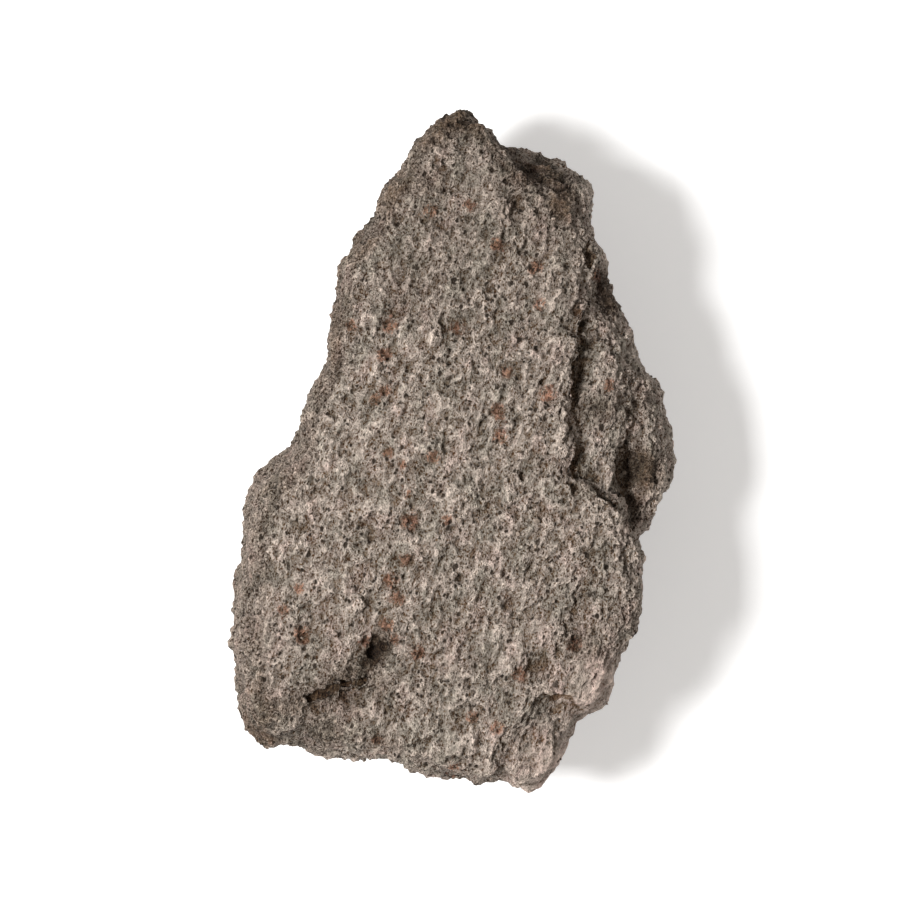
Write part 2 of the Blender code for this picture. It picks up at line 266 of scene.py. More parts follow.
def distance_to_line(xy, line):
    """How far each point is from a line of several stretches."""
    nearest = np.full(len(xy), np.inf)
    for start, end in zip(np.array(line), np.array(line[1:])):
        along = end - start
        share = np.clip((xy - start) @ along / (along @ along), 0.0, 1.0)
        nearest = np.minimum(nearest, np.linalg.norm(xy - start - share[:, None] * along, axis=1))
    return nearest


def ragged(points, chosen):
    """x and y in mm, shifted a little by noise, so that a mark gets a torn outline."""
    xy = points[:, :2] / MM
    for index in np.nonzero(chosen)[0]:
        place = Vector(points[index] / MM / TORN_SIZE)
        xy[index, 0] += TORN_BY * noise.noise(place)
        xy[index, 1] += TORN_BY * noise.noise(place + Vector((19.0, 7.0, 3.0)))
    return xy


def press_marks(mesh):
    """Cracks and pits go down and fills come up, on the broad face only."""
    points = points_of(mesh)
    on_face = (normals_of(mesh)[:, 2] > FACE_UP) & (points[:, 2] > FACE_ABOVE)
    xy = points[:, :2] / MM
    near = np.zeros(len(points), bool)  # only these points need the slow noise
    for line, _, _ in CRACKS:
        near |= distance_to_line(xy, line) < 3.0
    for x, y, radius, _ in PITS:
        near |= np.hypot(xy[:, 0] - x, xy[:, 1] - y) < 3.0 * radius
    xy = ragged(points, near & on_face)
    depth = np.zeros(len(points))
    for line, half_width, deep in CRACKS:
        depth += deep * np.exp(-((distance_to_line(xy, line) / half_width) ** 2))
    keep(mesh, "crack", np.clip(depth * on_face, 0.0, 1.0))
    for line, half_width, high in FILLS:
        depth -= high * np.exp(-((distance_to_line(xy, line) / half_width) ** 2))
    for x, y, radius, deep in PITS:
        depth += deep * np.exp(-((np.hypot(xy[:, 0] - x, xy[:, 1] - y) / radius) ** 3))
    points[:, 2] -= depth * on_face * MM
    mesh.vertices.foreach_set("co", points.astype(np.float32).ravel())
    mesh.update()
    print("marks: deepest", round(float((depth * on_face).max()), 2), "mm")


press_marks(skin)

# %% [markdown]
# ## Stains, weathering, painted shade and fresh breaks
# Some looks belong to places. Rusty grains stain small spots. The slopes, the upper end and
# some deep pockets are painted darker, partly as weathering and partly as painted shade, and a
# few knobs and rims are painted paler, as painted light. The breaks at the lower right are
# younger, so they are smoother and a little pink. And where the outline of the real stone steps
# in or out, the skin is set back more, or less. Each kind is a list of round places, and each
# list becomes an attribute of the skin: 1 in the middle, fading to 0.

# %% Lists of places
RUST_SPOTS = [  # x, y, radius in mm
    (7.1, 5.8, 1.3), (-3.1, -1.3, 1.2), (-7.4, -17.4, 1.1), (-9.6, -20.7, 1.3),
    (-8.7, -23.5, 1.2), (-10.4, -27.4, 1.3), (-5.4, -32.0, 1.1), (0.9, 19.1, 1.0),
    (-3.5, 37.4, 1.2), (2.7, 38.2, 1.0), (7.0, 32.0, 1.1), (12.9, 28.4, 1.2), (13.7, 22.6, 1.0),
    (8.5, 12.1, 1.1), (7.4, 1.9, 1.2), (14.9, 8.6, 1.3), (24.8, 10.0, 1.0), (10.6, -35.4, 1.2),
    (19.2, -30.7, 1.1), (3.0, -42.2, 1.0), (7.0, -43.7, 1.1), (0.1, -50.8, 1.2),
    (-23.6, -29.0, 1.4), (-9.8, 19.4, 1.2), (-16.1, 19.4, 1.0), (-10.6, 14.7, 1.2),
    (-12.2, 7.7, 1.0), (-6.7, -11.4, 1.4), (-10.1, -0.6, 0.9), (-7.8, -2.4, 0.8),
    (-7.2, -7.1, 0.8), (-1.0, -11.2, 0.9), (-10.6, 9.1, 0.9), (-24.0, -21.9, 0.9),
    (-26.6, -25.3, 0.9), (-13.5, -30.3, 0.9), (-9.1, -30.0, 0.9), (-11.8, -45.8, 0.9),
    (23.3, 27.1, 0.9),
]
FRESH_PLACES = [  # x, y, radius in mm
    (21.5, -40.0, 6.0), (25.0, -37.0, 5.5), (14.5, -49.5, 6.0),
]
# Darker places are weathering and painted shade, darkest in the deep pockets on the right; paler
# places, below 0, are mostly painted light on knobs and rims.
WEATHER_AND_SHADE_PLACES = [  # x, y, radius in mm, how much darker, or paler below 0
    (-31.0, -46.8, 4.0, 0.7), (-21.0, -47.6, 3.0, 0.35), (-12.6, -31.8, 2.0, 0.8),
    (-0.4, 53.2, 2.0, 0.6), (3.6, 52.0, 1.5, 0.7), (13.3, 44.6, 2.4, 0.9), (16.5, 43.8, 2.0, 0.7),
    (19.3, 40.4, 2.4, 0.5), (21.3, 37.4, 1.8, -0.4), (23.9, 6.1, 3.0, 0.4),
    (30.4, -3.4, 3.2, 1.6), (30.0, 7.7, 3.4, 0.5), (29.0, -10.5, 2.5, 0.8),
    (24.3, 26.8, 1.6, 1.6), (25.6, 23.8, 2.0, 1.6), (21.4, 27.3, 2.0, -0.8),
    (-21.0, -35.0, 3.0, 0.3), (-11.0, -36.0, 4.0, 0.4), (-9.5, -45.5, 3.5, 0.45),
    (-28.0, -39.0, 4.0, 0.35), (-23.5, -8.0, 4.0, 0.25), (20.0, -32.5, 3.5, 0.6),
    (28.6, -27.0, 3.6, 0.6), (23.5, -31.5, 3.0, 0.7), (15.5, -45.5, 3.0, 0.7),
    (0.0, -34.5, 3.0, 0.4), (-7.0, 46.0, 3.0, -0.5), (-12.5, 36.0, 3.0, -0.4),
    (-17.5, 27.5, 4.0, -0.5), (25.5, -6.6, 3.0, -1.2), (14.0, 41.2, 1.8, -0.5),
    (-3.5, 41.4, 2.5, 0.5), (-8.2, 23.3, 3.0, 0.35), (-16.1, 13.9, 2.5, 0.3),
    (5.9, 26.5, 2.5, -0.4), (16.8, 37.4, 2.5, 0.5), (30.3, 12.8, 2.5, -0.6),
    (-25.5, -22.1, 3.0, 0.4), (-26.2, -29.9, 2.5, 0.35), (-24.7, -40.9, 2.5, 0.5),
    (-16.9, -33.9, 2.0, 0.5), (-2.0, -19.7, 2.0, 0.4), (-11.4, -37.8, 2.0, 0.4),
    (4.3, -33.1, 2.5, 0.35), (18.4, -29.9, 2.0, 0.4), (23.0, 6.3, 2.2, 0.7),
    (-15.3, -37.8, 1.6, -0.8), (-8.2, -9.6, 3.0, -0.35), (-5.1, -26.0, 2.0, -0.5),
    (-31.2, -24.4, 2.0, -0.3), (-13.7, -17.4, 2.5, -0.35), (5.9, 1.4, 2.5, -0.4),
    (-8.5, -48.0, 3.0, -0.5), (12.9, 48.2, 1.8, -1.2), (17.5, 46.3, 1.8, -1.2),
    (21.8, 41.0, 1.8, -1.2), (3.6, -53.6, 2.2, 0.6), (-15.3, -41.7, 2.2, 0.5),
    (-4.8, -37.6, 2.0, 0.5), (21.5, 30.8, 1.2, 0.3), (23.9, 30.4, 1.3, -1.2),
    (28.2, 16.5, 1.8, -0.9), (32.1, 3.0, 1.8, -0.5), (27.6, -8.3, 1.4, 0.8),
]
INWARD = 0.45  # mm, so that the relief is mostly cut into the solid
OUTLINE_PLACES = [  # x, y, radius in mm, and how much further inward
    (-20.5, 24.5, 6.0, 0.6), (0.5, 53.5, 5.0, 0.65), (12.5, 47.5, 5.0, 0.4),
    (29.5, -33.0, 5.5, 0.9), (8.5, 48.8, 2.5, 0.8), (22.4, 40.6, 3.2, -1.0),
    (17.0, -38.9, 1.7, 0.5), (-35.5, -33.0, 3.5, -0.9), (-35.0, -39.5, 3.5, -0.7),
    (-20.5, -49.0, 3.5, -0.9), (-31.5, -46.5, 5.0, -1.2), (-12.0, -51.0, 6.0, -0.4),
    (22.0, -43.0, 3.0, -0.5), (27.0, 26.0, 5.0, 0.4),
]
print("places:", len(RUST_SPOTS), "rust,", len(FRESH_PLACES), "fresh,", len(WEATHER_AND_SHADE_PLACES),
      "weather,", len(OUTLINE_PLACES), "outline")


# %% Places as attributes
BROAD_BLUR = 60  # steps, after which only the big faces and sides are left


def near_spots(xy, spots):
    """1 in the middle of a spot, fading to 0 at its edge."""
    value = np.zeros(len(xy))
    for x, y, radius in spots:
        value = np.maximum(value, np.exp(-((np.hypot(xy[:, 0] - x, xy[:, 1] - y) / radius) ** 2)))
    return value


def keep_places(mesh):
    """Each list of places becomes an attribute of the mesh."""
    points, normals = points_of(mesh), normals_of(mesh)
    xy, height = points[:, :2] / MM, points[:, 2] / MM
    facing = blurred(mesh, normals, BROAD_BLUR)
    # A place is a column through the stone, so its mark fades on the sides and towards the back.
    face_side = np.clip((normals[:, 2] + 0.1) / 0.3, 0.0, 1.0) * smooth_step(height, 4.0, 18.0)
    fresh = near_spots(xy, FRESH_PLACES) * smooth_step(height, 12.0, 22.0)
    # Slopes are darker, partly weathered and partly painted shade, those to the lower right least,
    # and so is the upper end.
    weather_and_shade_side = 0.15 + 0.85 * smooth_step(-facing[:, 0] + 0.5 * facing[:, 1], -0.45, 0.10)
    weather_and_shade = 0.10 + 0.85 * smooth_step(1.0 - facing[:, 2], 0.005, 0.17) * weather_and_shade_side
    weather_and_shade += 0.42 * smooth_step(xy[:, 1], 4.0, 34.0)
    for x, y, radius, strength in WEATHER_AND_SHADE_PLACES:
        weather_and_shade += strength * near_spots(xy, [(x, y, radius)]) * face_side
    pushed = np.full(len(points), INWARD)
    for x, y, radius, depth in OUTLINE_PLACES:
        pushed += depth * near_spots(xy, [(x, y, radius)])
    weather_and_shade = np.clip(weather_and_shade * (1.0 - 0.9 * fresh), -1.0, 1.6)
    keep(mesh, "inward", pushed)
    keep(mesh, "rust", near_spots(xy, RUST_SPOTS) * face_side)
    keep(mesh, "fresh", fresh)
    keep(mesh, "weather_and_shade", weather_and_shade)
    crack = np.empty(len(points), np.float32)
    mesh.attributes["crack"].data.foreach_get("value", crack)
    # Loose grains stay off weathered, shaded and cracked places, and off the floor.
    clean = np.clip(1.1 - np.maximum(weather_and_shade, 0.0) - 4.0 * crack, 0.0, 1.0)
    keep(mesh, "spread", (height > 1.0) * clean)
    print("weather from", round(float(weather_and_shade.min()), 2), "to", round(float(weather_and_shade.max()), 2))


# %% [markdown]
# ## The relief: lumps, walls and pores
# The froth repeats all over the stone, so Geometry Nodes make it. Lumps and knots come from
# smooth noise. The thin walls between bubbles come from the folds of noise, which are where it
# crosses its middle value. Pores are cells of a Voronoi pattern, of which only some are open.
# Everything is stretched a little along the flow of the lava, so all the patterns are read in
# one turned and squeezed space, and the same space serves the material later.

# %% Flow, folds and patches
FLOW_ANGLE = math.radians(71.0)  # the flow, seen from above, from +X towards +Y
FLOW_STRETCH = 1.35
print("flow:", round(math.degrees(FLOW_ANGLE)), "degrees from +X, stretched", FLOW_STRETCH, "times")


def flow_space(tree, position):
    """Position in millimetres, turned so that X runs along the flow, and squeezed along it."""
    turned = add_node(tree, "ShaderNodeVectorRotate", {"Vector": position, "Angle": -FLOW_ANGLE},
                      rotation_type="Z_AXIS").outputs["Vector"]
    return vector_math(tree, "MULTIPLY", turned, (1 / MM / FLOW_STRETCH, 1 / MM, 1 / MM))


def noise_value(tree, vector, size, detail=2.0, roughness=0.5):
    """Noise of this feature size, in millimetres, centred on 0."""
    made = add_node(tree, "ShaderNodeTexNoise", {"Vector": vector, "Scale": 1.0 / size,
                                                 "Detail": detail, "Roughness": roughness})
    return math_node(tree, "SUBTRACT", made.outputs[0], 0.5)


def smooth_patches(tree, flow):
    """1 on patches of denser glass, which have few pores, and 0 elsewhere."""
    shifted = vector_math(tree, "ADD", flow, (57.0, 11.0, 29.0))
    return ramp_between(tree, noise_value(tree, shifted, 2.9), 0.03, 0.15)


def streaks_along(tree, flow, size):
    """Long folds along the flow, 1 on their crests."""
    drawn_out = vector_math(tree, "MULTIPLY", flow, (0.28, 1.0, 1.0))
    fold = math_node(tree, "ABSOLUTE", noise_value(tree, drawn_out, size, detail=1.0))
    return ramp_between(tree, fold, 0.0, 0.13, 1.0, 0.0)


# %% [markdown]
# ## The relief tree
# Each kind of relief has its own input, in millimetres, so that the stone can be made rougher
# or smoother without touching the tree. Three attributes steer it. Where the stone is steep it
# gets coarse blocks in place of fine streaks, because a broken side is lumpier than the worn
# face. Fresh breaks stay smoother. And "inward" says how far the whole skin is set back, since
# a rough surface that is only raised would make the stone bigger than its solid. No point goes
# below the floor.

# %% Relief tree
RELIEF = {  # heights in mm
    "Blocks": 3.0, "Lumps": 1.75, "Knots": 1.65, "Crumbs": 0.75, "Walls": 0.45, "Streaks": 0.3,
    "Pores": 0.66,
}
PORE_CELL = 1.9  # mm
CLOSED_SHARE = 0.45  # of the cells
print("relief in mm:", RELIEF)


def stored(tree, name):
    return add_node(tree, "GeometryNodeInputNamedAttribute", {"Name": name},
                    data_type="FLOAT").outputs[0]


def open_pores(tree, flow):
    """1 in the middle of an open cell, 0 outside it."""
    cells = add_node(tree, "ShaderNodeTexVoronoi", {"Vector": flow, "Scale": 1 / PORE_CELL})
    pick = add_node(tree, "ShaderNodeSeparateXYZ", {0: cells.outputs["Color"]}).outputs
    open_cell = math_node(tree, "GREATER_THAN", pick[0], CLOSED_SHARE)
    radius = math_node(tree, "MULTIPLY_ADD", pick[1], 0.22, 0.16)
    far = math_node(tree, "DIVIDE", cells.outputs["Distance"], radius)
    return math_node(tree, "MULTIPLY", ramp_between(tree, far, 0.5, 1.0, 1.0, 0.0), open_cell)


def relief_height(tree, given, flow):
    """How far each point moves along its normal, in millimetres."""
    steep, fresh = stored(tree, "steep"), stored(tree, "fresh")
    patches = math_node(tree, "MULTIPLY", smooth_patches(tree, flow), 0.6)
    dense = math_node(tree, "MAXIMUM", patches, fresh)
    rough = math_node(tree, "SUBTRACT", 1.0, math_node(tree, "MULTIPLY", dense, 0.65))
    side = math_node(tree, "SUBTRACT", 1.0, math_node(tree, "MULTIPLY", steep, 0.25))
    level = math_node(tree, "SUBTRACT", 1.0, steep)
    calm = math_node(tree, "SUBTRACT", 1.0, math_node(tree, "MULTIPLY", fresh, 0.5))
    fold = math_node(tree, "ABSOLUTE", noise_value(tree, flow, 1.05, detail=1.0))

    blocks = math_node(tree, "MULTIPLY", noise_value(tree, flow, 5.5, detail=3.0), steep)
    walls = ramp_between(tree, fold, 0.0, 0.14, 0.5, -0.5)
    crumbs = noise_value(tree, flow, 0.85, detail=1.0)
    pores_down = math_node(tree, "MULTIPLY", given["Pores"], -1.0)
    fine = total(tree, (walls, given["Walls"]), (open_pores(tree, flow), pores_down),
                 (crumbs, given["Crumbs"]))
    broken = total(tree, (fine, side), (blocks, given["Blocks"]))
    knots = math_node(tree, "MULTIPLY", noise_value(tree, flow, 1.7), calm)
    streaks = math_node(tree, "MULTIPLY", streaks_along(tree, flow, 1.5), level)
    return total(tree, (broken, rough), (noise_value(tree, flow, 4.2), given["Lumps"]),
                 (knots, given["Knots"]), (streaks, given["Streaks"]),
                 (stored(tree, "inward"), -1.0))


def finished(tree, geometry, material):
    """The end of every tree: real faces instead of instances, and their material."""
    whole = add_node(tree, "GeometryNodeRealizeInstances", {0: geometry}).outputs[0]
    dressed = add_node(tree, "GeometryNodeSetMaterial", {"Geometry": whole, "Material": material})
    add_node(tree, "NodeGroupOutput", {"Geometry": dressed.outputs[0]})


def relief_tree():
    tree = bpy.data.node_groups.new("rock_relief", "GeometryNodeTree")
    tree_socket(tree, "Geometry", "Geometry")
    for name, default in RELIEF.items():
        tree_socket(tree, name, "Float", default)
    tree_socket(tree, "Material", "Material")
    tree_socket(tree, "Geometry", "Geometry", out=True)
    given = tree.nodes.new("NodeGroupInput").outputs
    place = add_node(tree, "GeometryNodeInputPosition").outputs[0]
    normal = add_node(tree, "GeometryNodeInputNormal").outputs[0]
    height = relief_height(tree, given, flow_space(tree, place))
    offset = scaled(tree, normal, math_node(tree, "MULTIPLY", height, MM))
    raised = add_node(tree, "GeometryNodeSetPosition",
                      {"Geometry": given["Geometry"], "Offset": offset}).outputs[0]
    part = add_node(tree, "ShaderNodeSeparateXYZ", {0: place}).outputs
    above_floor = math_node(tree, "MAXIMUM", part[2], 0.0)
    above = add_node(tree, "ShaderNodeCombineXYZ", {0: part[0], 1: part[1], 2: above_floor})
    levelled = add_node(tree, "GeometryNodeSetPosition",
                        {"Geometry": raised, "Position": above.outputs[0]}).outputs[0]
    finished(tree, levelled, given["Material"])
    return tree


# %% [markdown]
# ## Raising the relief
# The tree runs on the skin, and the result is read back as a plain mesh. A modifier's inputs
# are set by the identifiers of their sockets, which never change, and before the modifier runs
# for the first time. "steep" comes from the skin's normals, blurred so much that only the
# stone's big faces and sides are left.


# %% Raise the relief
def with_nodes(host, tree, values):
    """host with this tree as a modifier, its inputs set by name."""
    modifier = host.modifiers.new("nodes", "NODES")
    modifier.node_group = tree
    for socket in tree.interface.items_tree:
        if socket.in_out == "INPUT" and socket.name in values:
            modifier[socket.identifier] = values[socket.name]
    return host


def raise_relief(mesh, material):
    slope = 1.0 - blurred(mesh, normals_of(mesh), BROAD_BLUR)[:, 2]
    keep(mesh, "steep", smooth_step(slope, 0.03, 0.45))
    keep_places(mesh)
    stone = placed("rock_relief", mesh)
    return frozen(with_nodes(stone, relief_tree(), {**RELIEF, "Material": material}))


stone_material = bpy.data.materials.new("porous_glass")
full = raise_relief(skin, stone_material)
print("relief:", len(full.polygons), "faces,", len(full.vertices), "points")

# %% [markdown]
# ## Where dust and shade gather
# Dark dust settles in hollows, and little light reaches them, so the material paints them darker,
# as painted shade with dust. A hollow is a point that lies below the average of its neighbours.
# The mesh is blurred a few times, and how far each point lies under its blurred place is kept as
# an attribute. A small blur finds pores, and a large one finds the grooves between ledges.

# %% Hollows as attributes
# Name, steps of blur, and the depth in mm that counts as full.
HOLLOWS = [("pore", 4, 0.10), ("pit", 24, 0.30), ("groove", 240, 1.2)]


def keep_hollows(mesh):
    points, normals = points_of(mesh), normals_of(mesh)
    for name, steps, full_depth in HOLLOWS:
        depth = ((blurred(mesh, points, steps) - points) * normals).sum(axis=1) / MM
        keep(mesh, name, np.clip(depth / full_depth, -1.0, 1.0))
        print(name, "depth spread in mm:", round(float(depth.std()), 3))


keep_hollows(full)

# %% [markdown]
# ## Fewer faces where the eye isn't close
# The surface is kept under 200,000 triangles, and a skin this fine has more. The broad face
# keeps every one of its points. The sides and the back are thinned until the sum is right.
# Decimate reads a vertex group for that: it leaves a point alone when its weight is below 1,
# so the group holds the sides and the back and nothing else.

# %% Thin the sides
MOST_TRIANGLES = 196000
SIDE_BLUR = 30  # steps
SIDE_FACING = 0.30  # a point whose blurred normal is lower than this is on a side or the back


def thinned(mesh):
    """The mesh with fewer faces on its sides and back."""
    stone = placed("rock_thinning", mesh)
    away = blurred(mesh, normals_of(mesh), SIDE_BLUR)[:, 2] < SIDE_FACING
    group = stone.vertex_groups.new(name="away")
    group.add(np.nonzero(away)[0].tolist(), 1.0, "REPLACE")
    thin = stone.modifiers.new("thin", "DECIMATE")
    thin.vertex_group = "away"
    thin.ratio = MOST_TRIANGLES / (2 * len(mesh.polygons))
    return frozen(stone)


surface = thinned(full)
surface.shade_smooth()
rock = placed("rock_surface", surface)
print("surface:", sum(len(face.vertices) - 2 for face in surface.polygons), "triangles")

# %% [markdown]
# ## Patterns finer than the mesh
# Walls thinner than a fifth of a millimetre and pinholes are too small for the mesh, so the
# material draws them. Three patterns are used many times, each at its own size, and a pattern
# that is used many times is a node group: thin walls from the folds of noise, open pores with a
# pale rim from a Voronoi pattern, and whole bubbles with walls and each its own shade.


# %% Shader groups
def shader_group(name, inputs, outputs):
    tree = bpy.data.node_groups.new(name, "ShaderNodeTree")
    for socket, kind, default in inputs:
        tree_socket(tree, socket, kind, default)
    for socket in outputs:
        tree_socket(tree, socket, "Float", out=True)
    return tree, tree.nodes.new("NodeGroupInput").outputs


def bent_by_noise(tree, place, scale, detail, amount):
    """place shifted by noise, so that no pattern stays regular."""
    wobble = add_node(tree, "ShaderNodeTexNoise",
                      {"Vector": place, "Scale": scale, "Detail": detail})
    shift = vector_math(tree, "SUBTRACT", wobble.outputs["Color"], (0.5, 0.5, 0.5))
    return vector_math(tree, "ADD", place, scaled(tree, shift, amount))


def walls_group():
    tree, given = shader_group("froth_walls", [("Place", "Vector", None), ("Size", "Float", 0.8),
                                               ("Width", "Float", 0.1)], ["Walls"])
    place = scaled(tree, given["Place"], math_node(tree, "DIVIDE", 1.0, given["Size"]))
    made = add_node(tree, "ShaderNodeTexNoise", {"Vector": place, "Scale": 1.0, "Detail": 1.5,
                                                 "Roughness": 0.55, "Distortion": 0.6})
    fold = math_node(tree, "ABSOLUTE", math_node(tree, "SUBTRACT", made.outputs[0], 0.5))
    walls = ramp_between(tree, fold, 0.0, given["Width"], 1.0, 0.0)
    add_node(tree, "NodeGroupOutput", {"Walls": walls})
    return tree


def pores_group():
    tree, given = shader_group("open_pores", [("Place", "Vector", None), ("Cell", "Float", 1.0),
                                              ("Closed", "Float", 0.5), ("Radius", "Float", 0.2),
                                              ("Spread", "Float", 0.2)], ["Hole", "Rim"])
    place = scaled(tree, given["Place"], math_node(tree, "DIVIDE", 1.0, given["Cell"]))
    bent = bent_by_noise(tree, place, 4.0, 1.0, 0.36)
    cells = add_node(tree, "ShaderNodeTexVoronoi", {"Vector": bent, "Scale": 1.0})
    pick = add_node(tree, "ShaderNodeSeparateXYZ", {0: cells.outputs["Color"]}).outputs
    open_cell = math_node(tree, "GREATER_THAN", pick[0], given["Closed"])
    radius = math_node(tree, "MULTIPLY_ADD", pick[1], given["Spread"], given["Radius"])
    far = math_node(tree, "DIVIDE", cells.outputs["Distance"], radius)
    from_rim = math_node(tree, "ABSOLUTE", math_node(tree, "SUBTRACT", far, 1.35))
    hole = ramp_between(tree, far, 0.65, 1.05, 1.0, 0.0)
    rim = ramp_between(tree, from_rim, 0.0, 0.4, 1.0, 0.0)
    add_node(tree, "NodeGroupOutput", {"Hole": math_node(tree, "MULTIPLY", hole, open_cell),
                                       "Rim": math_node(tree, "MULTIPLY", rim, open_cell)})
    return tree


def bubbles_group():
    tree, given = shader_group("glass_bubbles", [("Place", "Vector", None), ("Size", "Float", 1.0)],
                               ["Wall", "Tone"])
    place = scaled(tree, given["Place"], math_node(tree, "DIVIDE", 1.0, given["Size"]))
    bent = bent_by_noise(tree, place, 1.3, 2.0, 1.1)
    edge = add_node(tree, "ShaderNodeTexVoronoi", {"Vector": bent, "Scale": 1.0},
                    feature="DISTANCE_TO_EDGE")
    cell = add_node(tree, "ShaderNodeTexVoronoi", {"Vector": bent, "Scale": 1.0}).outputs["Color"]
    shade = add_node(tree, "ShaderNodeSeparateXYZ", {0: cell}).outputs[0]
    tone = math_node(tree, "SUBTRACT", shade, 0.5)
    wall = ramp_between(tree, edge.outputs["Distance"], 0.02, 0.15, 1.0, 0.0)
    add_node(tree, "NodeGroupOutput", {"Wall": wall, "Tone": tone})
    return tree


WALLS, PORES, BUBBLES = walls_group(), pores_group(), bubbles_group()
print("groups:", [(group.name, len(group.nodes)) for group in (WALLS, PORES, BUBBLES)])


# %% Helpers for materials
def use_group(tree, group, **inputs):
    made = tree.nodes.new("ShaderNodeGroup")
    made.node_tree = group
    for name, value in inputs.items():
        feed(tree, made.inputs[name], value)
    return made.outputs


def mix_colour(tree, share, first, second, blend="MIX"):
    made = add_node(tree, "ShaderNodeMix", data_type="RGBA", blend_type=blend, clamp_result=False)
    feed(tree, made.inputs[0], share)
    for socket, colour in ((made.inputs[6], first), (made.inputs[7], second)):
        feed(tree, socket, (*colour, 1.0) if isinstance(colour, tuple) else colour)
    return made.outputs[2]


def multiplied(tree, share, colour, tint):
    """colour, of which this share is multiplied by the tint."""
    return mix_colour(tree, share, colour, mix_colour(tree, 1.0, colour, tint, "MULTIPLY"))


def attribute(tree, name):
    return add_node(tree, "ShaderNodeAttribute", attribute_name=name).outputs["Fac"]


def dull_shader(material, roughness):
    """The material's tree and its shader, set for a matt mineral."""
    material.use_nodes = True
    shader = material.node_tree.nodes["Principled BSDF"]
    shader.inputs["Roughness"].default_value = roughness
    shader.inputs["Specular IOR Level"].default_value = 0.3
    return material.node_tree, shader


def bumped(tree, shader, height):
    """The height, in millimetres, tilts the normals that the shader sees."""
    bump = add_node(tree, "ShaderNodeBump", {"Height": height, "Distance": MM, "Strength": 1.0})
    tree.links.new(bump.outputs[0], shader.inputs["Normal"])


# %% [markdown]
# ## The stone's tone
# Perlite has little colour of its own. What the eye reads is mostly light and dark: pale walls
# and dust-filled gaps, patches of a few millimetres, and hollows. So the tone is summed first,
# as one number around 1, from patterns of every size between a third of a millimetre and 15 mm.
# A hollow then halves it, or more, as painted shade with dust. Dense glass and fresh breaks
# show less of the fine pattern.


# %% The patterns
def stone_patterns(tree):
    """Every pattern that the material uses, by name. Sizes are in millimetres."""
    flow = flow_space(tree, add_node(tree, "ShaderNodeTexCoord").outputs["Object"])
    level = math_node(tree, "SUBTRACT", 1.0, attribute(tree, "steep"))
    shifted = vector_math(tree, "ADD", flow, (31.0, 17.0, 5.0))
    bubbles = use_group(tree, BUBBLES, Place=flow, Size=1.15)
    pinholes = use_group(tree, PORES, Place=flow, Cell=0.46, Closed=0.52, Radius=0.18, Spread=0.24)
    small = use_group(tree, PORES, Place=flow, Cell=0.85, Closed=0.62, Radius=0.18, Spread=0.26)
    large = use_group(tree, PORES, Place=flow, Cell=2.1, Closed=0.55, Radius=0.09, Spread=0.18)
    return {
        "flow": flow,
        "walls": use_group(tree, WALLS, Place=flow, Size=0.62, Width=0.11)["Walls"],
        "threads": use_group(tree, WALLS, Place=flow, Size=0.30, Width=0.12)["Walls"],
        "bubble_walls": bubbles["Wall"], "bubble_tones": bubbles["Tone"],
        "streaks": math_node(tree, "MULTIPLY", streaks_along(tree, flow, 1.5), level),
        "pinholes": pinholes["Hole"],
        "small_holes": small["Hole"], "small_rims": small["Rim"],
        "large_holes": large["Hole"], "large_rims": large["Rim"],
        "grit": noise_value(tree, flow, 0.30, detail=1.0),
        "flecks": noise_value(tree, flow, 0.9),
        "spots": noise_value(tree, flow, 2.2),
        "hue": noise_value(tree, shifted, 3.6, detail=3.0, roughness=0.6),
        "clouds": noise_value(tree, flow, 6.5),
        "broad": noise_value(tree, flow, 15.0, detail=1.0),
    }


def weighted(tree, seen, weights):
    """Sum of the named patterns, each times its weight."""
    return total(tree, *((seen[name], weight) for name, weight in weights.items()))


# %% The tone
FINE_TONES = {"walls": 0.26, "threads": 1.5, "grit": 4.2, "flecks": 0.25, "bubble_walls": 0.30,
              "bubble_tones": 0.34, "small_rims": 0.24, "large_rims": 0.14}
FINE_MIDDLE = 0.60  # what the fine patterns come to on average
BROAD_TONES = {"spots": 0.45, "clouds": 0.85, "broad": 0.4, "streaks": 0.20}
# Painted shade, with dust, in pores, pits, grooves and cracks.
HOLLOW_DUST_AND_SHADE = {"pore": 0.42, "pit": 0.42, "groove": 0.95, "crack": 1.1}  # in halvings
MIDDLE_TONE, DARKEST_TONE = 1.11, 0.15


def density_and_roughness(tree, seen):
    """How dense the glass is here, and how rough it looks, both from 0 to 1."""
    groove = math_node(tree, "MULTIPLY", attribute(tree, "groove"), 1.6, clamp=True)
    in_open = math_node(tree, "MULTIPLY", math_node(tree, "SUBTRACT", 1.0, groove), 0.7)
    patches = math_node(tree, "MULTIPLY", smooth_patches(tree, seen["flow"]), in_open)
    dense = math_node(tree, "MAXIMUM", patches, attribute(tree, "fresh"))
    return dense, math_node(tree, "SUBTRACT", 1.0, math_node(tree, "MULTIPLY", dense, 0.48))


def stone_tone(tree, seen):
    """The tone, the fine part of it, and how rough the stone looks."""
    dense, rough = density_and_roughness(tree, seen)
    weather_and_shade = attribute(tree, "weather_and_shade")
    # Places below 0 make the tone paler: painted light.
    pale = math_node(tree, "MAXIMUM", math_node(tree, "MULTIPLY", weather_and_shade, -1.0), 0.0)
    dips = ramp_between(tree, seen["spots"], -0.02, -0.14)
    fine = weighted(tree, seen, FINE_TONES)
    tone = total(tree, (math_node(tree, "SUBTRACT", fine, FINE_MIDDLE), rough), (dense, 0.06),
                 (pale, 0.6), (dips, -0.34), (weighted(tree, seen, BROAD_TONES), 1.0))
    tone = math_node(tree, "MAXIMUM", math_node(tree, "ADD", tone, MIDDLE_TONE), DARKEST_TONE)
    # Hollows, cracks and pores found in the mesh halve the tone: painted shade, with dust.
    hollow_dust_and_shade = total(tree, *((attribute(tree, name), part) for name, part in HOLLOW_DUST_AND_SHADE.items()))
    tone = math_node(tree, "MULTIPLY", tone, math_node(tree, "POWER", 0.5, hollow_dust_and_shade))
    return tone, fine, rough


print("tone: patterns weigh", {**FINE_TONES, **BROAD_TONES})
